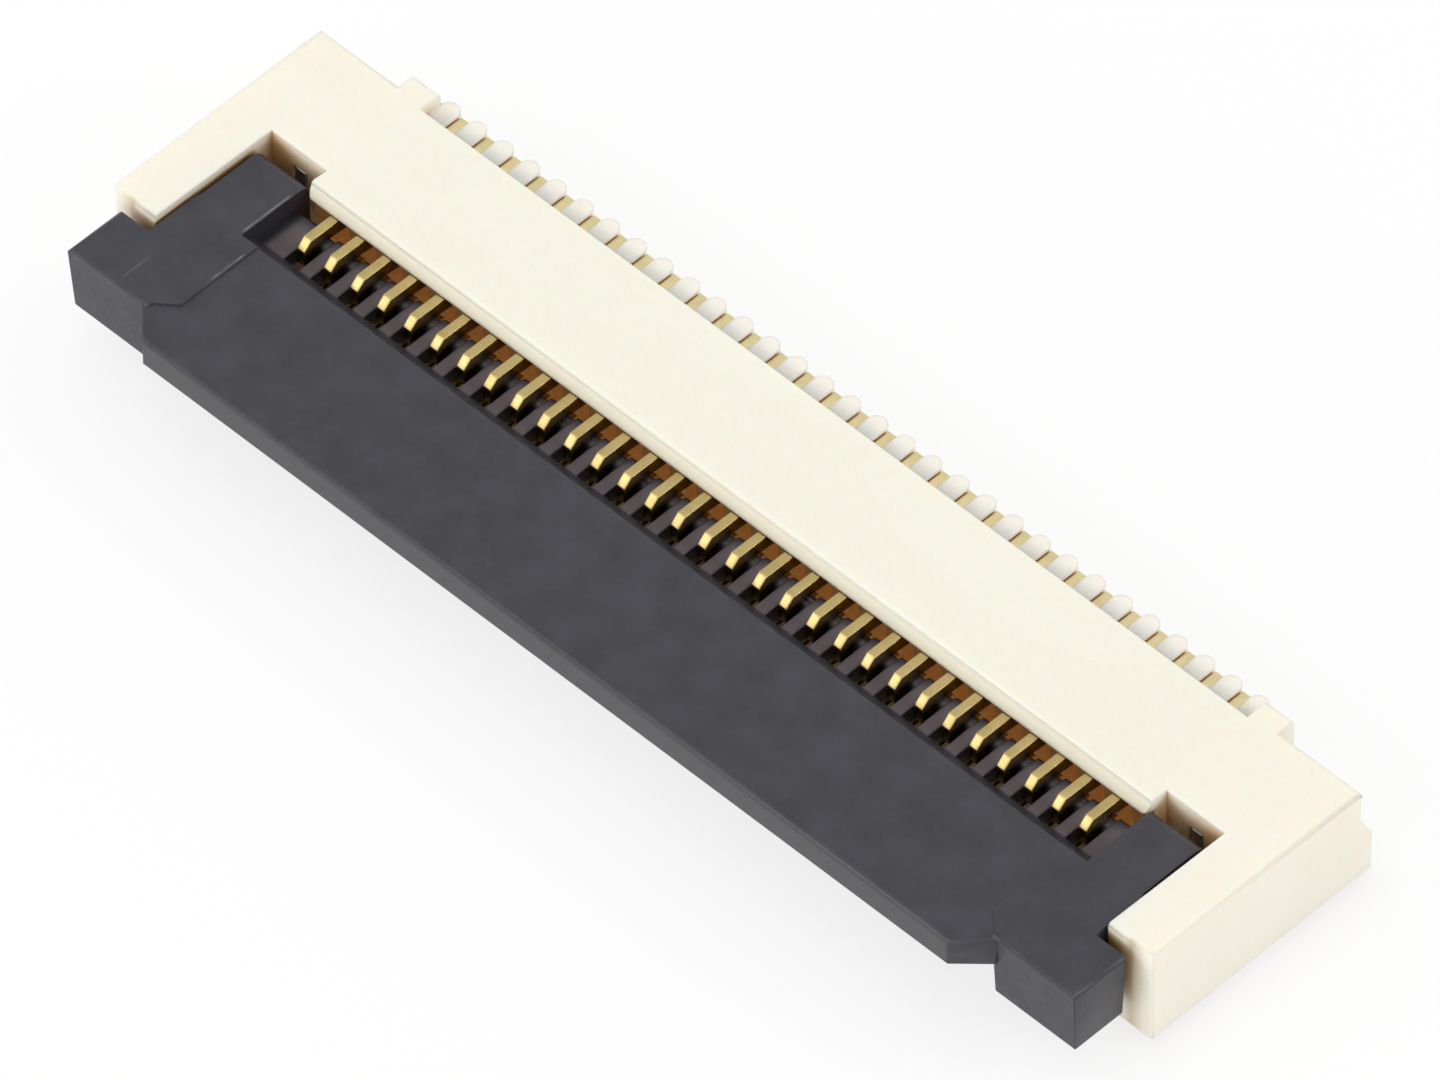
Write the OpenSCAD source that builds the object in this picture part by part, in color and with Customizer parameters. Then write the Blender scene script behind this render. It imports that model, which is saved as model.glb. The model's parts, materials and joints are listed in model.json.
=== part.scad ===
// Surface-mount connector for a flat flexible cable.
// A front-flip actuator turns on the hooked contact tips and clamps the cable.
// Millimetres. X runs along the contact row, -Y is the cable side, +Z is up from the board.

/* [Contact row] */
// Number of contacts
contact_count = 30; // [6:1:50]
// Distance from one contact to the next
contact_pitch = 0.5; // [0.5:0.01:0.8]
// Thickness of the contact strip, across the row
contact_thickness = 0.15; // [0.1:0.01:0.18]
// Free space on each side of a contact in its housing slot
contact_side_play = 0.02; // [0.01:0.005:0.04]

/* [Flat cable] */
// Thickness of the stiffened cable end
cable_thickness = 0.3; // [0.2:0.01:0.33]
// Free space on each side of the cable
cable_side_play = 0.035; // [0.02:0.005:0.08]
// Free space above the cable in the slot
cable_height_play = 0.07; // [0.03:0.01:0.1]
// Depth of the cable slot behind the front edge of the roof
cable_depth = 1.4; // [1:0.05:1.5]

/* [Housing] */
// Height of the connector above the board
height = 1.9; // [1.85:0.01:2.1]
// Gap between the board and the underside of the housing
standoff = 0.18; // [0.12:0.01:0.2]
// Depth of the roofed body from its front edge to its rear wall
roof_depth = 2.33; // [2.2:0.01:2.8]
// Thickness of the roof over the contacts
roof_skin = 0.22; // [0.18:0.01:0.24]
// How far the lower edge of the roof's front face leans forward
roof_lean = 0.1; // [0:0.01:0.12]
// Depth of the undercut below the roof's front face
roof_undercut = 0.16; // [0.12:0.01:0.2]
// Width of each side arm
arm_width = 0.82; // [0.6:0.01:1.2]
// How far the arms reach ahead of the roof
arm_reach = 1.9; // [1.7:0.05:2.4]
// Width of the pocket between the roofed body and an arm
pocket_width = 1.045; // [1:0.005:1.3]
// Depth of the pocket behind the front edge of the roof
pocket_depth = 0.3; // [0.26:0.01:0.5]
// Height of the cable floor above the board
floor_height = 0.55; // [0.5:0.01:0.6]
// How far the cable floor stays behind the arm ends
floor_setback = 0.35; // [0.2:0.05:0.7]
// Radius of the upright outer edges
corner_radius = 0.12; // [0.05:0.01:0.2]
// Radius of the long outer edges
edge_radius = 0.07; // [0.03:0.01:0.1]

/* [Housing rear] */
// Length of the rear ribs between the contact ends, without their round noses
rib_length = 0.37; // [0.3:0.01:0.42]
// Drop of the rear ribs below the roof
rib_drop = 0.2; // [0.1:0.01:0.22]
// Width of the plain rear wall beside the last rib
end_wall = 0.5; // [0.3:0.01:0.6]
// How far the upper rear wall is set back at both ends
end_setback = 0.28; // [0.1:0.01:0.35]
// Height of the foot of the sloping rear wall
slope_foot = 0.8; // [0.7:0.05:1.1]
// Height of the head of the sloping rear wall
slope_head = 1.33; // [1.2:0.01:1.6]

/* [Contacts] */
// Free space above and below a contact in its slot
contact_play = 0.02; // [0.01:0.005:0.03]
// Height of the upper beam over the shaft
beam_height = 0.22; // [0.2:0.01:0.24]
// Height of the upper beam at its root
beam_root_height = 0.4; // [0.3:0.01:0.5]
// Depth of the upright root of the contact
root_depth = 0.55; // [0.45:0.01:0.6]
// Thickness of the hook ahead of the shaft
hook_wall = 0.23; // [0.18:0.01:0.25]
// Bevel on the nose of the hook
nose_bevel = 0.14; // [0.08:0.01:0.15]
// How far the root stands out behind the housing's rear wall
root_proud = 0.05; // [0:0.01:0.1]
// How far the hook grips below the shaft's centre
hook_grip = 0.06; // [0:0.01:0.1]
// Height of the lower spring beam
spring_height = 0.15; // [0.12:0.01:0.18]
// Radius of the contact point on the spring beam
dome_radius = 0.12; // [0.1:0.01:0.15]
// How far the contact point stands above the cable floor
dome_proud = 0.07; // [0.03:0.01:0.1]
// Height of the press barbs that hold contacts and fittings in the housing
barb_height = 0.3; // [0.2:0.01:0.3]
// Height of the barbs above the edge that they stand over
barb_lift = 0.1; // [0.06:0.01:0.12]
// Thickness of the solder tail
tail_height = 0.16; // [0.12:0.01:0.2]
// How far the solder tail reaches behind the housing
tail_reach = 0.7; // [0.4:0.05:1]

/* [Actuator] */
// Radius of the actuator's shaft
shaft_radius = 0.15; // [0.13:0.01:0.16]
// Radial running clearance of the shaft
shaft_play = 0.04; // [0.02:0.01:0.06]
// Distance from the shaft's centre to the front edge of the roof
shaft_ahead = 0.32; // [0.3:0.01:0.4]
// Drop of the actuator's top below the roof
actuator_drop = 0.1; // [0.05:0.01:0.2]
// Drop of the middle plate below the end blocks
plate_drop = 0.03; // [0.01:0.01:0.06]
// Thickness of the middle plate
plate_thickness = 0.48; // [0.4:0.01:0.52]
// How far the middle plate reaches ahead of the ears
plate_reach = 0.45; // [0.2:0.05:0.7]
// Sideways slant of the middle plate's ends
plate_slant = 0.47; // [0.2:0.01:0.6]
// Depth of the comb below the middle plate's top
comb_drop = 0.37; // [0.34:0.01:0.39]
// Run of the sloping wall between the plate and the comb
comb_slope = 0.33; // [0.2:0.01:0.4]
// How far the plate thickens downwards where it meets the comb
comb_web = 0.2; // [0.1:0.01:0.25]
// Gap between the cams of the closed actuator and the cable
cam_play = 0.02; // [0.01:0.01:0.04]
// Width of the windows in the comb
window_width = 0.3; // [0.25:0.01:0.34]
// Free space between a hook and the front of its window
window_play = 0.19; // [0.14:0.01:0.22]
// Height of the ears
ear_height = 1.17; // [0.9:0.01:1.2]
// Depth of the ears, front to rear
ear_depth = 0.98; // [0.6:0.02:1.3]
// Width of the ears
ear_width = 1.42; // [1.2:0.02:1.6]
// How much the front face of an ear leans in towards the bottom
ear_draft = 0.08; // [0:0.01:0.1]
// How much the outer face of an ear leans in towards the bottom
ear_side_draft = 0.04; // [0:0.01:0.08]
// Gap between an ear and the end of its arm
ear_gap = 0.18; // [0.1:0.01:0.3]
// Free space between the end blocks and the housing
block_play = 0.05; // [0.03:0.01:0.08]
// Height of the end blocks
block_height = 1; // [0.9:0.02:1.05]
// How far the end blocks reach behind the shaft's centre
block_reach = 0.34; // [0.28:0.01:0.36]

/* [Solder fittings] */
// Thickness of the fitting sheet
fitting_thickness = 0.2; // [0.15:0.01:0.25]
// Free space around a fitting in its housing slot
fitting_play = 0.02; // [0.01:0.005:0.04]
// How far the head of a fitting stays below the roof
head_drop = 0.45; // [0.2:0.01:0.5]
// Depth of a fitting in the housing behind the pocket
fitting_depth = 1.1; // [0.9:0.05:1.3]
// How far a fitting reaches ahead of the shaft's centre
fitting_nose = 0.25; // [0.2:0.01:0.3]
// Distance from the pocket's rear wall to the barb of a fitting
fitting_barb_depth = 0.3; // [0.2:0.01:0.5]
// How far the solder foot reaches behind the pocket's rear wall
foot_reach = 0.45; // [0.3:0.05:0.6]
// Length of the solder foot along the side
foot_length = 1.1; // [0.6:0.05:1.3]
// How far the foot's end stays inside the housing's side
foot_inset = 0.2; // [0:0.01:0.3]
// Thickness of the foot
foot_thickness = 0.15; // [0.1:0.01:0.16]
// Radial thickness of the cradle under the shaft
cradle_wall = 0.1; // [0.08:0.01:0.12]
// Width of the stem that carries the cradle
cradle_stem = 0.24; // [0.16:0.01:0.3]

/* [Hidden] */
$fn = 48;
cut_over = 0.1;
seam = 0.01;

// Widths, from the middle of the row outwards
last_contact_x = (contact_count - 1) * contact_pitch / 2;
contact_slot = contact_thickness + 2 * contact_side_play;
rib_width = contact_pitch - contact_slot;
ledge_half = last_contact_x + contact_pitch / 2 + rib_width / 2;
cable_width = (contact_count + 1) * contact_pitch;
mouth_half = cable_width / 2 + cable_side_play;
arm_inner = mouth_half + pocket_width;
housing_half = arm_inner + arm_width;
block_inner = mouth_half + block_play;
block_outer = arm_inner - block_play;
fitting_x = (block_inner + block_outer) / 2;
fitting_slot = fitting_thickness + 2 * fitting_play;
rear_half = ledge_half + end_wall;
plate_root_half = block_inner + 0.08;
plate_front_half = plate_root_half - plate_slant;
ear_outer = plate_root_half + ear_width;
pad_inner = plate_front_half + 0.08;

// Places along Y, from the solder tails to the front of the plate
overall_depth = tail_reach + roof_depth + arm_reach + ear_gap + ear_depth + plate_reach;
tail_end_y = overall_depth / 2;
rear_y = tail_end_y - tail_reach;
roof_front_y = rear_y - roof_depth;
lip_front_y = roof_front_y - roof_lean;
wall_front_y = lip_front_y + roof_undercut;
pocket_rear_y = roof_front_y + pocket_depth;
arm_front_y = roof_front_y - arm_reach;
floor_front_y = arm_front_y + floor_setback;
ear_rear_y = arm_front_y - ear_gap;
ear_front_y = ear_rear_y - ear_depth;
plate_front_y = ear_front_y - plate_reach;
shaft_y = roof_front_y - shaft_ahead;
cable_stop_y = roof_front_y + cable_depth;
root_front_y = rear_y - root_depth;
root_rear_y = rear_y + root_proud;
ledge_front_y = rear_y - rib_length;

// Heights above the board
slot_top = height - roof_skin;
contact_top = slot_top - contact_play;
hook_inner_radius = shaft_radius + shaft_play;
shaft_z = contact_top - beam_height - hook_inner_radius;
cable_slot_top = floor_height + cable_thickness + cable_height_play;
groove_bottom = standoff + 0.04;
root_bottom = groove_bottom + contact_play;
block_top = height - actuator_drop;
block_bottom = block_top - block_height;
plate_top = block_top - plate_drop;
plate_bottom = plate_top - plate_thickness;
comb_top = plate_top - comb_drop;
comb_bottom = plate_bottom - comb_web;
ear_bottom = block_top - ear_height;
cam_bottom = floor_height + cable_thickness + cam_play;

// Front of the hooks, and the windows of the comb that clear them
hook_front_y = shaft_y - hook_inner_radius - hook_wall;
window_front_y = hook_front_y - window_play;
comb_edge_y = window_front_y - comb_slope;

// Solder fittings
blade_top = block_bottom - 0.06;
blade_front_y = shaft_y - fitting_nose;
blade_rear_y = pocket_rear_y + fitting_depth;
blade_head_top = height - head_drop;
foot_rear_y = pocket_rear_y + foot_reach;

function contact_x(i) = i * contact_pitch - last_contact_x;
function two_digits(n) = n < 10 ? str("0", n) : str(n);
function contact_name(i) = str("contact_", two_digits(i + 1));

// A flat profile drawn in (Y, Z), stretched from x0 to x1
module along_x(x0, x1) {
    translate([x0, 0, 0]) rotate([90, 0, 90]) linear_extrude(x1 - x0) children();
}

// A flat profile drawn in (X, Z), stretched from y0 to y1
module along_y(y0, y1) {
    translate([0, y1, 0]) rotate([90, 0, 0]) linear_extrude(y1 - y0) children();
}

// A flat outline drawn in (X, Y), stretched from z0 to z1
module along_z(z0, z1) {
    translate([0, 0, z0]) linear_extrude(z1 - z0) children();
}

module rect(low, high) {
    translate(low) square(high - low);
}

module round_rect(low, high, r) {
    rect([low[0] + r, low[1]], [high[0] - r, high[1]]);
    rect([low[0], low[1] + r], [high[0], high[1] - r]);
    for (x = [low[0] + r, high[0] - r], y = [low[1] + r, high[1] - r]) {
        translate([x, y]) circle(r);
    }
}

// What a round of radius r leaves over at the corner of a wall: the wall lies
// behind the corner along both signs of side
module corner_waste(corner, side, r) {
    centre = [corner[0] + side[0] * r, corner[1] + side[1] * r];
    outside = [corner[0] - side[0] * cut_over, corner[1] - side[1] * cut_over];
    difference() {
        rect([min(centre[0], outside[0]), min(centre[1], outside[1])],
             [max(centre[0], outside[0]), max(centre[1], outside[1])]);
        translate(centre) circle(r);
    }
}

module both_sides() {
    children();
    mirror([1, 0, 0]) children();
}

// ---- Housing ----

// Outer block of the housing, rounded along its upright and its long edges
module housing_block() {
    intersection() {
        along_z(standoff, height) {
            round_rect([-housing_half, arm_front_y], [housing_half, rear_y], corner_radius);
        }
        along_y(arm_front_y - cut_over, rear_y + cut_over) {
            round_rect([-housing_half, standoff], [housing_half, height], edge_radius);
        }
        along_x(-housing_half - cut_over, housing_half + cut_over) {
            round_rect([arm_front_y, standoff], [rear_y, height], edge_radius);
        }
    }
}

// Space between the arms for the actuator and the cable, with a pocket at each end
module mouth_space() {
    along_x(-arm_inner, arm_inner) {
        rect([arm_front_y - cut_over, floor_height], [lip_front_y, height + cut_over]);
        rect([arm_front_y - cut_over, -cut_over], [floor_front_y, height + cut_over]);
    }
    both_sides() {
        along_x(mouth_half, arm_inner) {
            rect([lip_front_y - cut_over, floor_height], [pocket_rear_y, height + cut_over]);
        }
    }
}

// Leaning, soft-edged front face of the roof, and the undercut below it
module roof_front_space() {
    along_x(-mouth_half - cut_over, mouth_half + cut_over) {
        polygon([
            [lip_front_y - cut_over, slot_top],
            [lip_front_y, slot_top],
            [roof_front_y, height - edge_radius],
            [roof_front_y, height + cut_over],
            [lip_front_y - cut_over, height + cut_over]
        ]);
        corner_waste([roof_front_y, height], [1, -1], edge_radius);
    }
    along_x(-mouth_half, mouth_half) {
        rect([lip_front_y - cut_over, floor_height], [wall_front_y, slot_top]);
    }
    both_sides() {
        along_z(floor_height, height + cut_over) {
            corner_waste([mouth_half, lip_front_y], [-1, 1], corner_radius);
        }
    }
}

// Cable slot under the roof, with bevelled lips on the floor and on the wall
module cable_space() {
    lip = 0.12;
    along_x(-mouth_half, mouth_half) {
        rect([lip_front_y - cut_over, floor_height], [cable_stop_y, cable_slot_top]);
        polygon([
            [wall_front_y - seam, cable_slot_top - seam],
            [wall_front_y + lip, cable_slot_top - seam],
            [wall_front_y - seam, cable_slot_top + lip]
        ]);
    }
    along_x(-arm_inner, arm_inner) {
        polygon([
            [floor_front_y - cut_over, floor_height - lip - cut_over],
            [floor_front_y + lip, floor_height + seam / 10],
            [floor_front_y - cut_over, floor_height + seam / 10]
        ]);
    }
}

// Room for one contact: upper channel, root slot and spring groove in one profile.
// The web left between channel and groove is the stop for the cable.
module contact_space() {
    groove_front_y = hook_front_y - 0.05;
    root_space_y = root_front_y - contact_play;
    along_x(-contact_slot / 2, contact_slot / 2) {
        rect([lip_front_y, cable_slot_top - seam], [ledge_front_y + seam, slot_top]);
        rect([root_space_y, -cut_over], [ledge_front_y + seam, slot_top]);
        rect([groove_front_y, groove_bottom], [root_space_y + seam, floor_height + seam]);
    }
}

// Rear of the row: lower than the roof and open, for ribs to stand in
module ledge_space() {
    along_z(-cut_over, height + cut_over) {
        rect([-ledge_half, ledge_front_y], [ledge_half, rear_y + cut_over]);
    }
}

// Ribs that keep the contact roots apart, each with a round nose
module rear_ribs() {
    along_z(standoff, height - rib_drop) {
        for (i = [0 : contact_count]) {
            rib_x = contact_x(i) - contact_pitch / 2;
            rect([rib_x - rib_width / 2, ledge_front_y - seam], [rib_x + rib_width / 2, rear_y]);
            translate([rib_x, rear_y]) circle(rib_width / 2);
        }
    }
}

// Upper rear wall at both ends: set back, with a sloping foot
module end_setback_cut() {
    both_sides() {
        along_x(rear_half, housing_half + cut_over) {
            polygon([
                [rear_y + cut_over, slope_foot],
                [rear_y, slope_foot],
                [rear_y - end_setback, slope_head],
                [rear_y - end_setback, height + cut_over],
                [rear_y + cut_over, height + cut_over]
            ]);
            corner_waste([rear_y - end_setback, height], [-1, -1], edge_radius);
        }
    }
}

// Slots for the fitting's blade below and behind each pocket
module fitting_space() {
    both_sides() {
        along_x(fitting_x - fitting_slot / 2, fitting_x + fitting_slot / 2) {
            rect([blade_front_y - fitting_play, -cut_over], [blade_rear_y + fitting_play, blade_top]);
            rect([pocket_rear_y - cut_over, blade_top - seam],
                 [blade_rear_y + fitting_play, blade_head_top + fitting_play]);
        }
    }
}

module housing() {
    color("ivory") {
        difference() {
            housing_block();
            mouth_space();
            roof_front_space();
            cable_space();
            ledge_space();
            for (i = [0 : contact_count - 1]) {
                translate([contact_x(i), 0, 0]) contact_space();
            }
            end_setback_cut();
            fitting_space();
        }
        rear_ribs();
    }
}

// ---- Contacts ----

// Upper beam and the hook that holds the actuator's shaft down, in (Y, Z)
module hook_profile() {
    beam_bottom = contact_top - beam_height;
    hook_bottom = shaft_z - hook_grip;
    toe = 0.06;
    difference() {
        polygon([
            [root_front_y + seam, contact_top],
            [hook_front_y + nose_bevel, contact_top],
            [hook_front_y, contact_top - nose_bevel],
            [hook_front_y, hook_bottom + toe],
            [hook_front_y + toe, hook_bottom],
            [shaft_y, hook_bottom],
            [shaft_y, beam_bottom],
            [root_front_y, contact_top - beam_root_height],
            [root_front_y + seam, contact_top - beam_root_height]
        ]);
        translate([shaft_y, shaft_z]) circle(hook_inner_radius);
    }
}

// Lower spring beam, slender and rising to its round contact point, in (Y, Z)
module spring_profile() {
    bend_y = root_front_y - 0.35;
    dome_y = shaft_y - 0.03;
    dome_z = floor_height + dome_proud - dome_radius;
    beam_end = spring_height * 0.8;
    polygon([
        [root_front_y + seam, root_bottom],
        [root_front_y + seam, root_bottom + spring_height + 0.06],
        [bend_y, root_bottom + spring_height],
        [dome_y + dome_radius * 0.8, dome_z + dome_radius * 0.6],
        [dome_y, dome_z],
        [dome_y + dome_radius * 0.8, dome_z + dome_radius * 0.6 - beam_end],
        [bend_y, root_bottom]
    ]);
    translate([dome_y, dome_z]) circle(dome_radius);
}

// Upright root in the housing's rear slot, and the solder tail, in (Y, Z)
module root_profile() {
    heel = 0.1;
    tail_front_y = rear_y - 0.3;
    rect([root_front_y, root_bottom], [root_rear_y, contact_top]);
    rect([tail_front_y, 0], [tail_end_y, tail_height]);
    rect([tail_front_y, tail_height / 2], [root_rear_y, root_bottom + seam]);
    difference() {
        rect([root_rear_y - seam, tail_height - seam], [root_rear_y + heel, tail_height + heel]);
        translate([root_rear_y + heel, tail_height + heel]) circle(heel);
    }
}

// Barb that wedges a stamped sheet in its slot: half_sheet and half_slot across, in (X, Y)
module barb_outline(y, half_sheet, half_slot) {
    polygon([
        [-half_sheet, y],
        [half_sheet, y],
        [half_slot, y + 0.12],
        [half_slot, y + 0.18],
        [-half_slot, y + 0.18],
        [-half_slot, y + 0.12]
    ]);
}

module contact(i) {
    color("goldenrod") translate([contact_x(i), 0, 0]) {
        along_x(-contact_thickness / 2, contact_thickness / 2) {
            hook_profile();
            spring_profile();
            root_profile();
        }
        along_z(floor_height + barb_lift, floor_height + barb_lift + barb_height) {
            barb_outline(root_front_y + 0.06, contact_thickness / 2, contact_slot / 2);
        }
    }
}

// ---- Actuator ----

// Front plate with slanted ends; it slopes down to the comb at the rear
module actuator_plate() {
    web_y = comb_edge_y - comb_web / 2;
    intersection() {
        along_z(0, height) polygon([
            [-plate_root_half, shaft_y],
            [-plate_root_half, ear_front_y],
            [-plate_front_half, plate_front_y],
            [plate_front_half, plate_front_y],
            [plate_root_half, ear_front_y],
            [plate_root_half, shaft_y]
        ]);
        along_x(-plate_root_half, plate_root_half) polygon([
            [plate_front_y, plate_bottom + 0.03],
            [plate_front_y + 0.03, plate_bottom],
            [web_y, plate_bottom],
            [web_y + comb_web, comb_bottom],
            [window_front_y, comb_bottom],
            [window_front_y, comb_top],
            [comb_edge_y, plate_top],
            [plate_front_y + 0.05, plate_top],
            [plate_front_y, plate_top - 0.05]
        ]);
    }
}

// One tooth of the comb: neck, shaft and the cam that presses on the cable, in (Y, Z)
module tooth_profile() {
    cam_half = 0.12;
    heel_y = shaft_y + shaft_radius + 0.03;
    polygon([
        [window_front_y - seam, comb_bottom],
        [window_front_y - seam, comb_top],
        [shaft_y + shaft_radius * 0.8, comb_top],
        [heel_y, comb_top - 0.06],
        [heel_y, shaft_z],
        [shaft_y + cam_half, cam_bottom],
        [shaft_y - cam_half, cam_bottom],
        [shaft_y - 2 * cam_half, comb_bottom]
    ]);
}

module comb_teeth() {
    tooth_width = contact_pitch - window_width;
    first_tooth_x = contact_x(0) + contact_pitch / 2;
    for (i = [0 : contact_count - 2]) {
        tooth_x = first_tooth_x + i * contact_pitch;
        along_x(tooth_x - tooth_width / 2, tooth_x + tooth_width / 2) tooth_profile();
    }
    both_sides() {
        along_x(last_contact_x + window_width / 2, block_inner + seam) tooth_profile();
    }
}

// Ear in front of a housing arm, drafted on its front and outer faces
module ear() {
    intersection() {
        along_y(ear_front_y - cut_over, ear_rear_y) polygon([
            [block_inner, block_top],
            [ear_outer - edge_radius, block_top],
            [ear_outer, block_top - edge_radius],
            [ear_outer - ear_side_draft, ear_bottom],
            [block_inner, ear_bottom]
        ]);
        along_x(0, ear_outer + cut_over) polygon([
            [ear_front_y, block_top - edge_radius / 2],
            [ear_front_y + edge_radius / 2, block_top],
            [ear_rear_y, block_top],
            [ear_rear_y, ear_bottom],
            [ear_front_y + ear_draft, ear_bottom]
        ]);
    }
}

// End block that runs from the ear along the arm into the housing pocket
module end_block() {
    rear_round = 0.18;
    step_y = arm_front_y + 0.7;
    step = 0.04;
    block_rear_y = shaft_y + block_reach;
    intersection() {
        along_x(block_inner, block_outer) {
            rect([ear_rear_y - seam, block_bottom], [shaft_y, block_top]);
            round_rect([shaft_y - rear_round - seam, block_bottom], [block_rear_y, block_top], rear_round);
        }
        along_z(0, height) polygon([
            [block_inner, ear_rear_y - 2 * seam],
            [block_outer, ear_rear_y - 2 * seam],
            [block_outer, step_y],
            [block_outer - step, step_y + step],
            [block_outer - step, block_rear_y],
            [block_inner, block_rear_y]
        ]);
    }
}

// Raised pad on the plate beside the ear and the end block
module end_pad() {
    along_z(plate_bottom, block_top) polygon([
        [pad_inner, comb_edge_y],
        [pad_inner, ear_front_y + 0.35],
        [plate_root_half, ear_front_y + edge_radius / 2],
        [plate_root_half + 0.1, ear_front_y + edge_radius / 2],
        [plate_root_half + 0.1, comb_edge_y]
    ]);
}

// Room in an end block for the fitting's cradle, at every angle of the actuator
module cradle_space() {
    half = fitting_thickness / 2 + block_play;
    stem_half = cradle_stem / 2 + block_play;
    swing_radius = hook_inner_radius + cradle_wall + shaft_play;
    both_sides() {
        along_x(fitting_x - half, fitting_x + half) {
            translate([shaft_y, shaft_z]) circle(swing_radius);
            rect([shaft_y - stem_half, 0], [shaft_y + block_reach + cut_over, shaft_z + stem_half]);
        }
    }
}

module actuator() {
    color([0.26, 0.26, 0.29]) {
        difference() {
            union() {
                actuator_plate();
                both_sides() {
                    ear();
                    end_block();
                    end_pad();
                }
                comb_teeth();
            }
            cradle_space();
        }
        along_x(-block_outer + 0.1, block_outer - 0.1) {
            translate([shaft_y, shaft_z]) circle(shaft_radius);
        }
    }
}

// ---- Solder fittings ----

// Upright blade with the cradle that carries the shaft from below, in (Y, Z)
module blade_profile() {
    rect([blade_front_y, 0], [blade_rear_y, blade_top]);
    rect([pocket_rear_y + fitting_play, blade_top - seam], [blade_rear_y, blade_head_top]);
    difference() {
        translate([shaft_y, shaft_z]) circle(hook_inner_radius + cradle_wall);
        translate([shaft_y, shaft_z]) circle(hook_inner_radius);
        rect([shaft_y - 1, shaft_z - 0.05], [shaft_y + 1, shaft_z + 1]);
    }
    rect([shaft_y - cradle_stem / 2, blade_top - seam],
         [shaft_y + cradle_stem / 2, shaft_z - hook_inner_radius - cradle_wall / 2]);
}

module fitting_right() {
    half = fitting_thickness / 2;
    color("silver") {
        along_x(fitting_x - half, fitting_x + half) blade_profile();
        along_x(fitting_x, housing_half - foot_inset) {
            rect([foot_rear_y - foot_length, 0], [foot_rear_y, foot_thickness]);
        }
        along_z(blade_top + barb_lift, blade_top + barb_lift + barb_height) translate([fitting_x, 0]) {
            barb_outline(pocket_rear_y + fitting_barb_depth, half, fitting_slot / 2);
        }
    }
}

module solder_fitting_right() {
    fitting_right();
}

module solder_fitting_left() {
    mirror([1, 0, 0]) fitting_right();
}

housing();
actuator();
solder_fitting_left();
solder_fitting_right();
for (i = [0 : contact_count - 1]) {
    contact(i);
}
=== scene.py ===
import json
from math import cos, pi, radians, sin

import bmesh
import bpy
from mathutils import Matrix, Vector

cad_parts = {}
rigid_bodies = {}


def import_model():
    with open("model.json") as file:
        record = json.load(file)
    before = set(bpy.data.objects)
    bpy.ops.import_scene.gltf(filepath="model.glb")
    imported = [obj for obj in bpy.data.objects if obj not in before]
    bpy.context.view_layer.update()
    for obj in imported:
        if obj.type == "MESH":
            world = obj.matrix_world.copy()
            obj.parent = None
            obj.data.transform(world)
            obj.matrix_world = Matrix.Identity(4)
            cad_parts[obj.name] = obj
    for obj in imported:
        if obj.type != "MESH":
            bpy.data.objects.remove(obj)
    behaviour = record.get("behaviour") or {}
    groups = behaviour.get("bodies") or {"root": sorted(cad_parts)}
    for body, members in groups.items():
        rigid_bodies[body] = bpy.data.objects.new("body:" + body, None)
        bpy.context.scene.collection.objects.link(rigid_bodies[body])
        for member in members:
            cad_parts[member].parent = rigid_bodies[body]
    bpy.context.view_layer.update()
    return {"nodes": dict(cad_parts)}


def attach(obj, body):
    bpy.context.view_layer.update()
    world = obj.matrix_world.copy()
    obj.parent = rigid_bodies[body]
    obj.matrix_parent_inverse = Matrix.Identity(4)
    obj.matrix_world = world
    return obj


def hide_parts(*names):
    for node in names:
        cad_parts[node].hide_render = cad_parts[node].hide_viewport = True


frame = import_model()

MM = 0.001
CONTACTS = sorted(name for name in frame["nodes"] if name.startswith("contact_"))

# Places on the connector, in millimetres; those along X are taken from its middle
LIP_FRONT = -3.27
ARM_FRONT = -1.66
COMB_FRONT = -0.72
COMB_REAR = 0.10
ROOF_FRONT = 0.24
WALL_FRONT = 0.30
POCKET_REAR = 0.54
RIB_FRONT = 2.33
FLOOR_TOP = 0.55
COMB_TOP = 1.40
ROOF_UNDERSIDE = 1.69
RIB_TOP = 1.70
PLATE_TOP = 1.77
ROOF_TOP = 1.90
MOUTH_HALF = 7.785
ARM_INNER = 8.83

# Pale lines painted on the actuator as highlights along its edges: centre x, half width, front y,
# rear y, strength
PAINTED_HIGHLIGHT_LINES = (
    (-7.555, 0.022, -1.84, -1.27, 0.8),
    (-7.862, 0.024, -0.95, -0.10, 0.75),
    (-8.430, 0.016, -2.65, -2.18, 0.4),
)

# Name, direction it shines from, distance and side in metres, radiance
SOFTBOXES = (
    ("top softbox", (-0.25, -0.1, 1.0), 0.45, 0.30, 0.9),
    ("front softbox", (-0.46, -0.75, 0.47), 0.45, 0.24, 2.2),
    ("low front softbox", (0.1, -1.0, 0.12), 0.60, 0.30, 3.2),
    ("right softbox", (0.74, 0.46, 0.49), 0.45, 0.10, 8.0),
)
ROOM_LIGHT = 0.74
CARD_GLOW = 0.78

# Angles in degrees; distance, target and lens in millimetres
CAMERA_AZIMUTH = 44.48
CAMERA_ELEVATION = 48.88
CAMERA_DISTANCE = 342.5
CAMERA_TARGET = (-0.62, 0.744, -0.05)
CAMERA_LENS = 643.6


# ---- Making pieces from the frame's solids ----

def deselect_all():
    if bpy.context.object and bpy.context.object.mode != "OBJECT":
        bpy.ops.object.mode_set(mode="OBJECT")
    bpy.ops.object.select_all(action="DESELECT")


def make_active(piece):
    deselect_all()
    piece.select_set(True)
    bpy.context.view_layer.objects.active = piece


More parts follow.
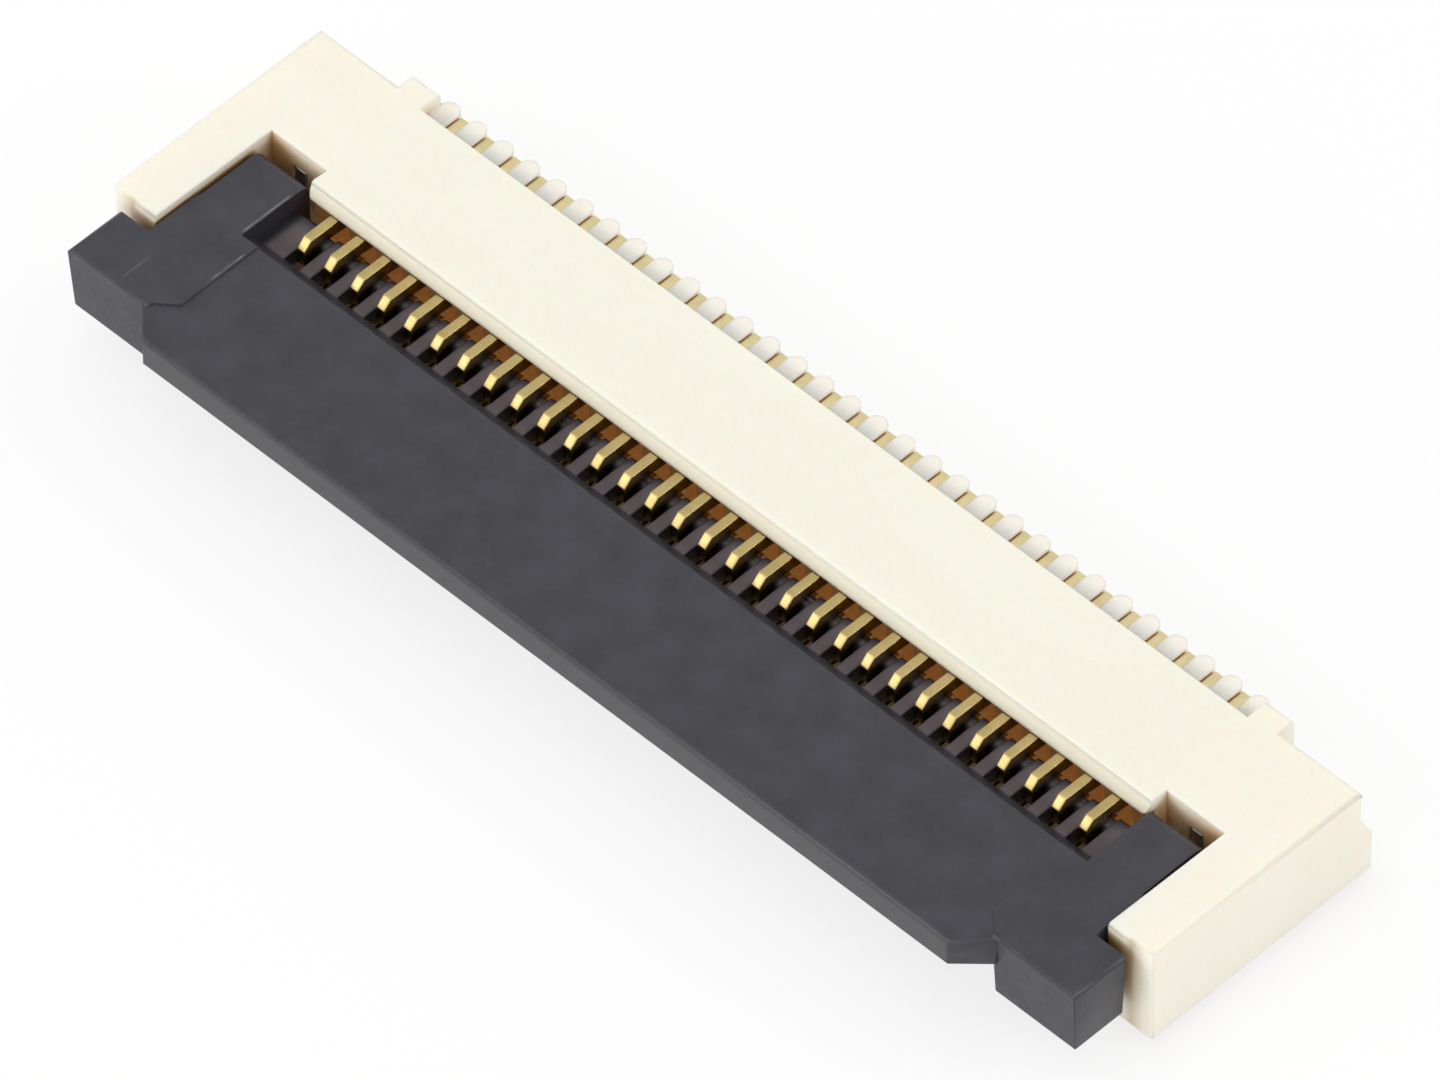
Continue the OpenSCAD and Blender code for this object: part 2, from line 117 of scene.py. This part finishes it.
def merged_copy(node_name, piece_name, sliver):
    """A copy of a solid with its corners joined, its flat faces whole and slivers closed."""
    make_active(frame["nodes"][node_name])
    bpy.ops.object.duplicate(linked=False)
    piece = bpy.context.object
    bpy.ops.object.parent_clear(type="CLEAR_KEEP_TRANSFORM")
    piece.name = piece_name
    piece.data.name = piece_name
    for key in list(piece.keys()):
        del piece[key]
    bpy.ops.object.mode_set(mode="EDIT")
    bpy.ops.mesh.select_mode(type="VERT")
    bpy.ops.mesh.select_all(action="SELECT")
    bpy.ops.mesh.remove_doubles(threshold=0.0002 * MM)
    bpy.ops.mesh.dissolve_limited(angle_limit=radians(0.6))
    bpy.ops.mesh.select_all(action="SELECT")
    bpy.ops.mesh.remove_doubles(threshold=sliver)
    bpy.ops.object.mode_set(mode="OBJECT")
    return piece


def room_beside(edge):
    """How wide an edge may be rounded before the rounding meets the next corner."""
    room = 1.0
    for corner in edge.verts:
        along = edge.other_vert(corner).co - corner.co
        for face in edge.link_faces:
            for neighbour in corner.link_edges:
                if neighbour is edge or face not in neighbour.link_faces:
                    continue
                across = neighbour.other_vert(corner).co - corner.co
                slant = sin(along.angle(across, 0.0))
                if slant > 0.4:
                    room = min(room, 0.42 * across.length * slant)
    return room


def soften_edges(piece, width):
    """Rounds each outer edge as far as its faces have room, as a mould or a stamping tool does."""
    sharp_angle = radians(28)
    fillet_step = 0.11 * MM
    mesh = bmesh.new()
    mesh.from_mesh(piece.data)
    weights = []
    for edge in mesh.edges:
        two_faced = len(edge.link_faces) == 2
        outer = two_faced and edge.is_convex and edge.calc_face_angle(0.0) > sharp_angle
        straight = edge.calc_length() > fillet_step
        weights.append(min(1.0, room_beside(edge) / width) if outer and straight else 0.0)
    mesh.free()
    stored = piece.data.attributes.new("bevel_weight_edge", "FLOAT", "EDGE")
    stored.data.foreach_set("value", weights)
    make_active(piece)
    bevel = piece.modifiers.new("soft edges", "BEVEL")
    bevel.width = width
    bevel.segments = 3
    bevel.limit_method = "WEIGHT"
    bevel.use_clamp_overlap = False
    bpy.ops.object.modifier_apply(modifier=bevel.name)
    bpy.ops.object.shade_smooth_by_angle(angle=radians(40))
    flatten = piece.modifiers.new("flat faces stay flat", "WEIGHTED_NORMAL")
    flatten.keep_sharp = True
    flatten.weight = 60
    bpy.ops.object.modifier_apply(modifier=flatten.name)
    deselect_all()


def dress_node(node_name, piece_name, body, material, edge_mm, sliver_mm=0.002):
    """Puts a finished piece in place of a solid, on the same body."""
    piece = merged_copy(node_name, piece_name, sliver_mm * MM)
    soften_edges(piece, edge_mm * MM)
    piece.data.materials.clear()
    piece.data.materials.append(material)
    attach(piece, body)
    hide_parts(node_name)


# ---- Materials ----

def new_material(name):
    material = bpy.data.materials.new(name)
    material.use_nodes = True
    nodes = material.node_tree.nodes
    nodes.clear()
    output = nodes.new("ShaderNodeOutputMaterial")
    shader = nodes.new("ShaderNodeBsdfPrincipled")
    material.node_tree.links.new(shader.outputs["BSDF"], output.inputs["Surface"])
    return material, shader


def link(material, source, target):
    material.node_tree.links.new(source, target)


def object_space(material, stretch=(1, 1, 1)):
    nodes = material.node_tree.nodes
    place = nodes.new("ShaderNodeTexCoord")
    mapping = nodes.new("ShaderNodeMapping")
    mapping.inputs["Scale"].default_value = stretch
    link(material, place.outputs["Object"], mapping.inputs["Vector"])
    return mapping.outputs["Vector"]


def noise(material, vector, grain_mm, detail=3.0, roughness=0.55):
    """Cloudy noise whose grain is grain_mm across."""
    texture = material.node_tree.nodes.new("ShaderNodeTexNoise")
    texture.inputs["Scale"].default_value = 1 / (grain_mm * MM)
    texture.inputs["Detail"].default_value = detail
    texture.inputs["Roughness"].default_value = roughness
    link(material, vector, texture.inputs["Vector"])
    return texture.outputs["Fac"]


def ramp(material, value, stops):
    """Colours or greys along value; stops are (position, colour)."""
    node = material.node_tree.nodes.new("ShaderNodeValToRGB")
    elements = node.color_ramp.elements
    while len(elements) < len(stops):
        elements.new(0.5)
    for element, (position, colour) in zip(elements, stops):
        element.position = position
        element.color = (*colour, 1)
    link(material, value, node.inputs["Fac"])
    return node.outputs["Color"]


def mix_colours(material, fraction, first, second, blend="MIX"):
    node = material.node_tree.nodes.new("ShaderNodeMix")
    node.data_type = "RGBA"
    node.blend_type = blend
    sockets = (node.inputs[0], node.inputs[6], node.inputs[7])
    for value, socket in zip((fraction, first, second), sockets):
        if isinstance(value, (int, float)):
            socket.default_value = value
        elif isinstance(value, tuple):
            socket.default_value = (*value, 1)
        else:
            link(material, value, socket)
    return node.outputs[2]


def grey(value):
    return (value, value, value)


def add_bump(material, shader, heights, depth_mm, strength, edge_mm=0.012):
    """Raises the surface by the sum of heights to depth_mm, over edges worn round by edge_mm."""
    total = heights[0]
    for height in heights[1:]:
        node = material.node_tree.nodes.new("ShaderNodeMath")
        node.operation = "ADD"
        link(material, total, node.inputs[0])
        link(material, height, node.inputs[1])
        total = node.outputs["Value"]
    worn = material.node_tree.nodes.new("ShaderNodeBevel")
    worn.samples = 6
    worn.inputs["Radius"].default_value = edge_mm * MM
    bump = material.node_tree.nodes.new("ShaderNodeBump")
    link(material, worn.outputs["Normal"], bump.inputs["Normal"])
    bump.inputs["Distance"].default_value = depth_mm * MM
    bump.inputs["Strength"].default_value = strength
    link(material, total, bump.inputs["Height"])
    link(material, bump.outputs["Normal"], shader.inputs["Normal"])


def recess_shade(material, reach_mm):
    """1 on open faces, falling towards 0 in corners and slots narrower than reach_mm."""
    node = material.node_tree.nodes.new("ShaderNodeAmbientOcclusion")
    node.samples = 8
    node.inputs["Distance"].default_value = reach_mm * MM
    geometry = material.node_tree.nodes.new("ShaderNodeNewGeometry")
    link(material, geometry.outputs["True Normal"], node.inputs["Normal"])
    return node.outputs["AO"]


def axis_ramp(material, vector, axis, low_mm, high_mm):
    """0 below low_mm and 1 above high_mm along an axis; with low above high it falls instead."""
    nodes = material.node_tree.nodes
    split = nodes.new("ShaderNodeSeparateXYZ")
    link(material, vector, split.inputs["Vector"])
    along = split.outputs[axis]
    if axis == "X":
        size = nodes.new("ShaderNodeMath")
        size.operation = "ABSOLUTE"
        link(material, along, size.inputs[0])
        along = size.outputs["Value"]
    step = nodes.new("ShaderNodeMapRange")
    step.inputs["From Min"].default_value = low_mm * MM
    step.inputs["From Max"].default_value = high_mm * MM
    link(material, along, step.inputs["Value"])
    return step.outputs["Result"]


def product(material, values):
    total = values[0]
    for value in values[1:]:
        node = material.node_tree.nodes.new("ShaderNodeMath")
        node.operation = "MULTIPLY"
        link(material, total, node.inputs[0])
        link(material, value, node.inputs[1])
        total = node.outputs["Value"]
    return total


def zone(material, vector, *borders):
    """1 in one part of a moulding; each border is (axis, where it is 0, where it is 1)."""
    return product(material, [axis_ramp(material, vector, *border) for border in borders])


def streak(material, vector, centre_mm, half_width_mm, front_mm, rear_mm):
    """1 on a thin line along Y at centre_mm, and 0 away from it."""
    nodes = material.node_tree.nodes
    split = nodes.new("ShaderNodeSeparateXYZ")
    link(material, vector, split.inputs["Vector"])
    offset = nodes.new("ShaderNodeMath")
    offset.operation = "SUBTRACT"
    offset.inputs[1].default_value = centre_mm * MM
    link(material, split.outputs["X"], offset.inputs[0])
    distance = nodes.new("ShaderNodeMath")
    distance.operation = "ABSOLUTE"
    link(material, offset.outputs["Value"], distance.inputs[0])
    near = nodes.new("ShaderNodeMapRange")
    near.inputs["From Min"].default_value = half_width_mm * MM
    near.inputs["From Max"].default_value = 0.4 * half_width_mm * MM
    link(material, distance.outputs["Value"], near.inputs["Value"])
    on_top = zone(
        material, vector,
        ("Y", front_mm - 0.04, front_mm + 0.04),
        ("Y", rear_mm + 0.04, rear_mm - 0.04),
        ("Z", PLATE_TOP - 0.03, PLATE_TOP - 0.01),
    )
    return product(material, [near.outputs["Result"], on_top])


def painted_recess_amber(material):
    """Painted shade: an amber darkening of corners and slots, where less light reaches the
    plastic.
    """
    return ramp(material, recess_shade(material, 0.7), [
        (0.04, (0.24, 0.11, 0.035)),
        (0.20, (0.60, 0.36, 0.14)),
        (0.36, (0.86, 0.73, 0.54)),
        (0.54, (1.0, 1.0, 1.0)),
    ])


def paint_housing_shade(material, place, ivory):
    """Ivory with painted shade in the gaps, on the thin lip, on the deep floor and in the corners
    of the housing.
    """
    # Painted shade: the arm's front face beside the ear is darkened brown
    ear_gap_painted_shade = zone(
        material, place,
        ("Y", ARM_FRONT + 0.07, ARM_FRONT + 0.01),
        ("X", ARM_INNER + 0.30, ARM_INNER + 0.42),
        ("X", ARM_INNER + 0.66, ARM_INNER + 0.44),
    )
    shaded = mix_colours(material, 1.0, ivory, (0.76, 0.69, 0.57), "MULTIPLY")
    ivory = mix_colours(material, ear_gap_painted_shade, ivory, shaded)
    lip_painted_shade = zone(
        # Painted shade: the face of the roof lip is painted amber brown
        material, place,
        ("Y", WALL_FRONT, ROOF_FRONT - 0.03),
        ("Y", ARM_FRONT, ARM_FRONT + 0.5),
        ("Z", ROOF_TOP - 0.01, ROOF_TOP - 0.20),
        ("Z", ROOF_UNDERSIDE - 0.06, ROOF_UNDERSIDE - 0.02),
        ("X", MOUTH_HALF + 0.1, MOUTH_HALF),
    )
    ivory = mix_colours(material, lip_painted_shade, ivory, (0.845, 0.71, 0.51))
    # Painted shade: the floor deep under the roof is painted brown
    deep_floor_painted_shade = zone(
        material, place,
        ("Y", WALL_FRONT - 1.1, WALL_FRONT),
        ("Y", WALL_FRONT + 1.5, WALL_FRONT + 0.9),
        ("Z", FLOOR_TOP + 0.6, FLOOR_TOP + 0.4),
        ("X", MOUTH_HALF, MOUTH_HALF - 0.4),
    )
    ivory = mix_colours(material, deep_floor_painted_shade, ivory, (0.80, 0.55, 0.30))
    # Painted shade: the rear corners of the pockets are painted amber brown
    pocket_corner_painted_shade = zone(
        material, place,
        ("Y", POCKET_REAR - 0.12, POCKET_REAR - 0.02),
        ("Y", POCKET_REAR + 0.3, POCKET_REAR + 0.1),
        ("Z", ROOF_TOP - 0.02, ROOF_TOP - 0.28),
        ("X", ARM_INNER - 0.55, ARM_INNER - 0.15),
        ("X", ARM_INNER + 0.2, ARM_INNER + 0.05),
    )
    return mix_colours(material, pocket_corner_painted_shade, ivory, (0.62, 0.36, 0.15))


def ivory_moulding():
    """Liquid crystal polymer: ivory, faintly grained, with painted amber shade in its corners,
    gaps and slots, ribs painted lighter, and a painted glow under the roof.
    """
    material, shader = new_material("ivory moulding")
    place = object_space(material)
    flow = object_space(material, (0.3, 1, 1))
    clouds = noise(material, flow, 1.4, detail=4)
    grain = noise(material, place, 0.035, detail=2)
    ivory = ramp(material, clouds, [(0.3, (0.925, 0.868, 0.742)), (0.7, (0.948, 0.898, 0.785))])
    speckle = ramp(material, grain, [(0.3, grey(0.975)), (0.6, grey(1.0))])
    ivory = mix_colours(material, 1.0, ivory, speckle, "MULTIPLY")

    # Painted light: the ribs are painted warmer and lighter than the rest of the ivory
    ribs = zone(
        material, place,
        ("Y", RIB_FRONT, RIB_FRONT + 0.02),
        ("Z", RIB_TOP + 0.03, RIB_TOP + 0.01),
        ("X", MOUTH_HALF, MOUTH_HALF - 0.02),
    )
    ivory = mix_colours(material, ribs, ivory, (1.0, 0.890, 0.790))
    # Painted shade: the ivory is darkened to amber in corners and slots
    ivory = mix_colours(material, 1.0, ivory, painted_recess_amber(material), "MULTIPLY")
    # Painted light: the rib tops are painted light again over the painted shade
    upper = axis_ramp(material, place, "Z", RIB_TOP - 0.04, RIB_TOP - 0.02)
    ivory = mix_colours(material, product(material, [ribs, upper]), ivory, (1.0, 0.893, 0.800))
    ivory = paint_housing_shade(material, place, ivory)

    # Painted shade and glow: the hollow under the roof is painted amber and glows faintly, though
    # it is no lamp
    under_roof = zone(
        material, place,
        ("Y", WALL_FRONT - 0.05, WALL_FRONT - 0.02),
        ("Y", WALL_FRONT + 1.5, WALL_FRONT + 0.9),
        ("Z", ROOF_UNDERSIDE, ROOF_UNDERSIDE - 0.02),
        ("Z", FLOOR_TOP - 0.1, FLOOR_TOP),
        ("X", MOUTH_HALF + 0.02, MOUTH_HALF - 0.02),
    )
    amber = ramp(material, clouds, [(0.3, (0.78, 0.44, 0.16)), (0.7, (0.86, 0.52, 0.21))])
    link(material, mix_colours(material, under_roof, ivory, amber), shader.inputs["Base Color"])
    painted_glow_under_roof = mix_colours(material, under_roof, grey(0.0), (0.060, 0.028, 0.007))
    link(material, painted_glow_under_roof, shader.inputs["Emission Color"])
    satin = ramp(material, grain, [(0.2, grey(0.40)), (0.8, grey(0.54))])
    link(material, satin, shader.inputs["Roughness"])
    shader.inputs["Emission Strength"].default_value = 1.0
    shader.inputs["Subsurface Weight"].default_value = 0.5
    shader.inputs["Subsurface Radius"].default_value = (1.0, 0.55, 0.25)
    shader.inputs["Subsurface Scale"].default_value = 0.35 * MM
    shader.inputs["IOR"].default_value = 1.5
    add_bump(material, shader, [grain, clouds], 0.003, 0.3, edge_mm=0.045)
    return material


def edge_turn_mask(material, radius_mm):
    """1 along edges and 0 on faces, from how far a rounded normal turns from the face's own."""
    nodes = material.node_tree.nodes
    rounded = nodes.new("ShaderNodeBevel")
    rounded.samples = 6
    rounded.inputs["Radius"].default_value = radius_mm * MM
    geometry = nodes.new("ShaderNodeNewGeometry")
    turn = nodes.new("ShaderNodeVectorMath")
    turn.operation = "DOT_PRODUCT"
    link(material, rounded.outputs["Normal"], turn.inputs[0])
    link(material, geometry.outputs["True Normal"], turn.inputs[1])
    return ramp(material, turn.outputs["Value"], [(0.80, grey(1)), (0.985, grey(0))])


def dark_moulding():
    """Dark grey glass-filled plastic with a fine spark-eroded grain and faint rubbed patches;
    painted highlights on its edges, comb tops and a few pale lines, and a painted reflection on
    its front lip.
    """
    material, shader = new_material("dark grey moulding")
    place = object_space(material)
    clouds = noise(material, place, 0.55, detail=4, roughness=0.6)
    grain = noise(material, place, 0.03, detail=3)
    scuffs = noise(material, object_space(material, (1, 0.2, 1)), 0.12, detail=4, roughness=0.7)
    colour = ramp(material, clouds, [
        (0.36, (0.0165, 0.0165, 0.0245)),
        (0.64, (0.0295, 0.0295, 0.0400)),
    ])
    fibres = ramp(material, grain, [(0.60, grey(0)), (0.78, grey(0.22))])
    colour = mix_colours(material, fibres, colour, (0.085, 0.083, 0.095))
    # Painted light: the tops of the comb teeth are painted lighter than the rest
    comb_tops_painted_light = zone(
        material, place,
        ("Z", COMB_TOP - 0.04, COMB_TOP - 0.01),
        ("Z", COMB_TOP + 0.10, COMB_TOP + 0.03),
        ("Y", COMB_FRONT, COMB_FRONT + 0.06),
        ("Y", COMB_REAR, COMB_REAR - 0.25),
        ("X", MOUTH_HALF, MOUTH_HALF - 0.1),
    )
    colour = mix_colours(material, comb_tops_painted_light, colour, (0.160, 0.136, 0.148))
    # Painted highlight: the edges above the comb are painted lighter; they are also made glossier
    edges = product(material, [
        edge_turn_mask(material, 0.022),
        ramp(material, scuffs, [(0.35, grey(0.35)), (0.6, grey(1))]),
        axis_ramp(material, place, "Z", COMB_TOP + 0.10, COMB_TOP + 0.20),
    ])
    colour = mix_colours(material, edges, colour, (0.075, 0.075, 0.083))
    # Painted reflection: the front face of the plate's lip is painted lighter
    lip_painted_reflection = axis_ramp(material, place, "Y", LIP_FRONT + 0.035, LIP_FRONT + 0.005)
    colour = mix_colours(material, lip_painted_reflection, colour, (0.050, 0.050, 0.054))
    # Painted highlight: thin pale lines along edges of the actuator's top
    for centre, half_width, front, rear, strength in PAINTED_HIGHLIGHT_LINES:
        line = streak(material, place, centre, half_width, front, rear)
        broken = ramp(material, scuffs, [(0.38, grey(0.3 * strength)), (0.58, grey(strength))])
        line = product(material, [line, broken])
        colour = mix_colours(material, line, colour, (0.19, 0.19, 0.20))
    link(material, colour, shader.inputs["Base Color"])
    matte = ramp(material, scuffs, [(0.3, grey(0.36)), (0.75, grey(0.48))])
    link(material, mix_colours(material, edges, matte, grey(0.26)), shader.inputs["Roughness"])
    shader.inputs["IOR"].default_value = 1.5
    add_bump(material, shader, [grain, clouds], 0.004, 0.4)
    return material


def gold_plating():
    """Gold over nickel on stamped strip, with the fine lines of rolling along it."""
    material, shader = new_material("gold plating")
    place = object_space(material)
    rolled = noise(material, object_space(material, (1, 0.12, 1)), 0.02, detail=3)
    clouds = noise(material, place, 0.25)
    colour = ramp(material, clouds, [(0.3, (0.41, 0.31, 0.122)), (0.7, (0.49, 0.38, 0.168))])
    # Painted shade: the gold is darkened brown in corners and slots
    depth = ramp(material, recess_shade(material, 0.5), [
        (0.12, (0.10, 0.055, 0.02)),
        (0.75, (1.0, 1.0, 1.0)),
    ])
    colour = mix_colours(material, 1.0, colour, depth, "MULTIPLY")
    # Painted light: the tops of the contacts' rear ends are painted paler
    rear_tops_painted_light = zone(
        material, place,
        ("Y", RIB_FRONT - 0.05, RIB_FRONT),
        ("Z", RIB_TOP - 0.25, RIB_TOP - 0.10),
    )
    pale = ramp(material, clouds, [(0.3, (0.63, 0.53, 0.285)), (0.7, (0.72, 0.62, 0.345))])
    link(material, mix_colours(material, rear_tops_painted_light, colour, pale), shader.inputs["Base Color"])
    lustre = ramp(material, rolled, [(0.25, grey(0.22)), (0.8, grey(0.36))])
    link(material, lustre, shader.inputs["Roughness"])
    shader.inputs["Metallic"].default_value = 1.0
    add_bump(material, shader, [rolled], 0.002, 0.3)
    return material


def tin_plating():
    """Matte tin on the solder fittings."""
    material, shader = new_material("tin plating")
    place = object_space(material)
    clouds = noise(material, place, 0.2)
    grain = noise(material, place, 0.02)
    tin = ramp(material, clouds, [(0.3, grey(0.62)), (0.7, grey(0.74))])
    link(material, tin, shader.inputs["Base Color"])
    matte = ramp(material, grain, [(0.3, grey(0.30)), (0.7, grey(0.46))])
    link(material, matte, shader.inputs["Roughness"])
    shader.inputs["Metallic"].default_value = 1.0
    add_bump(material, shader, [grain], 0.002, 0.3)
    return material


# ---- The pieces ----

def dress_connector():
    ivory = ivory_moulding()
    dark = dark_moulding()
    gold = gold_plating()
    tin = tin_plating()
    dress_node("housing", "housing_moulding", "base", ivory, 0.035)
    dress_node(
        "actuator", "actuator_moulding", "flip", dark, 0.022, sliver_mm=0.008)
    for side in ("left", "right"):
        dress_node(
            f"solder_fitting_{side}", f"fitting_sheet_{side}", "base", tin, 0.015)
    for name in CONTACTS:
        strip_name = name.replace("contact", "contact_strip")
        dress_node(name, strip_name, "base", gold, 0.012)


# ---- Stage, light and camera ----

def seen_directly(material_or_world):
    """1 for what the camera, a mirror or clear plastic sees, 0 for light that falls on things."""
    nodes = material_or_world.node_tree.nodes
    links = material_or_world.node_tree.links
    path = nodes.new("ShaderNodeLightPath")
    total = path.outputs["Is Camera Ray"]
    for name in ("Is Glossy Ray", "Is Transmission Ray"):
        either = nodes.new("ShaderNodeMath")
        either.operation = "MAXIMUM"
        links.new(total, either.inputs[0])
        links.new(path.outputs[name], either.inputs[1])
        total = either.outputs["Value"]
    return total


def add_floor():
    """A white card that still shows the connector's soft shadow."""
    deselect_all()
    bpy.ops.mesh.primitive_plane_add(size=6, location=(0, 0, 0))
    floor = bpy.context.object
    floor.name = "floor"
    material, shader = new_material("white card")
    nodes = material.node_tree.nodes
    shader.inputs["Base Color"].default_value = (0.96, 0.96, 0.96, 1)
    shader.inputs["Roughness"].default_value = 0.9
    shader.inputs["Specular IOR Level"].default_value = 0.0
    white = nodes.new("ShaderNodeEmission")
    share = nodes.new("ShaderNodeMath")
    share.operation = "MULTIPLY"
    share.inputs[1].default_value = CARD_GLOW
    link(material, seen_directly(material), share.inputs[0])
    blend = nodes.new("ShaderNodeMixShader")
    link(material, share.outputs["Value"], blend.inputs["Fac"])
    link(material, shader.outputs["BSDF"], blend.inputs[1])
    link(material, white.outputs["Emission"], blend.inputs[2])
    output = next(node for node in nodes if node.bl_idname == "ShaderNodeOutputMaterial")
    link(material, blend.outputs["Shader"], output.inputs["Surface"])
    floor.data.materials.append(material)


def add_softbox(name, towards, distance, size, radiance):
    """A square lamp that shines from the direction towards onto the connector."""
    lamp = bpy.data.lights.new(name, "AREA")
    lamp.shape = "SQUARE"
    lamp.size = size
    lamp.energy = radiance * pi * size * size
    box = bpy.data.objects.new(name, lamp)
    bpy.context.scene.collection.objects.link(box)
    direction = Vector(towards).normalized()
    box.location = direction * distance
    box.rotation_mode = "QUATERNION"
    box.rotation_quaternion = direction.to_track_quat("Z", "Y")


def light_studio():
    world = bpy.data.worlds.new("soft room")
    bpy.context.scene.world = world
    world.use_nodes = True
    background = world.node_tree.nodes["Background"]
    background.inputs["Color"].default_value = (1.0, 1.0, 1.0, 1)
    strength = world.node_tree.nodes.new("ShaderNodeMapRange")
    strength.inputs["To Min"].default_value = ROOM_LIGHT
    strength.inputs["To Max"].default_value = 1.0
    world.node_tree.links.new(seen_directly(world), strength.inputs["Value"])
    world.node_tree.links.new(strength.outputs["Result"], background.inputs["Strength"])
    for softbox in SOFTBOXES:
        add_softbox(*softbox)


def add_camera():
    azimuth = radians(CAMERA_AZIMUTH)
    elevation = radians(CAMERA_ELEVATION)
    target = Vector(CAMERA_TARGET) * MM
    back = Vector((sin(azimuth) * cos(elevation), -cos(azimuth) * cos(elevation), sin(elevation)))
    lens = bpy.data.cameras.new("camera")
    lens.sensor_width = 36
    lens.lens = CAMERA_LENS
    lens.clip_start = 0.01
    lens.clip_end = 20
    camera = bpy.data.objects.new("camera", lens)
    bpy.context.scene.collection.objects.link(camera)
    camera.location = target + back * CAMERA_DISTANCE * MM
    camera.rotation_mode = "QUATERNION"
    camera.rotation_quaternion = (-back).to_track_quat("-Z", "Y")
    bpy.context.scene.camera = camera


dress_connector()
add_floor()
light_studio()
add_camera()
bpy.context.scene.view_settings.view_transform = "Standard"
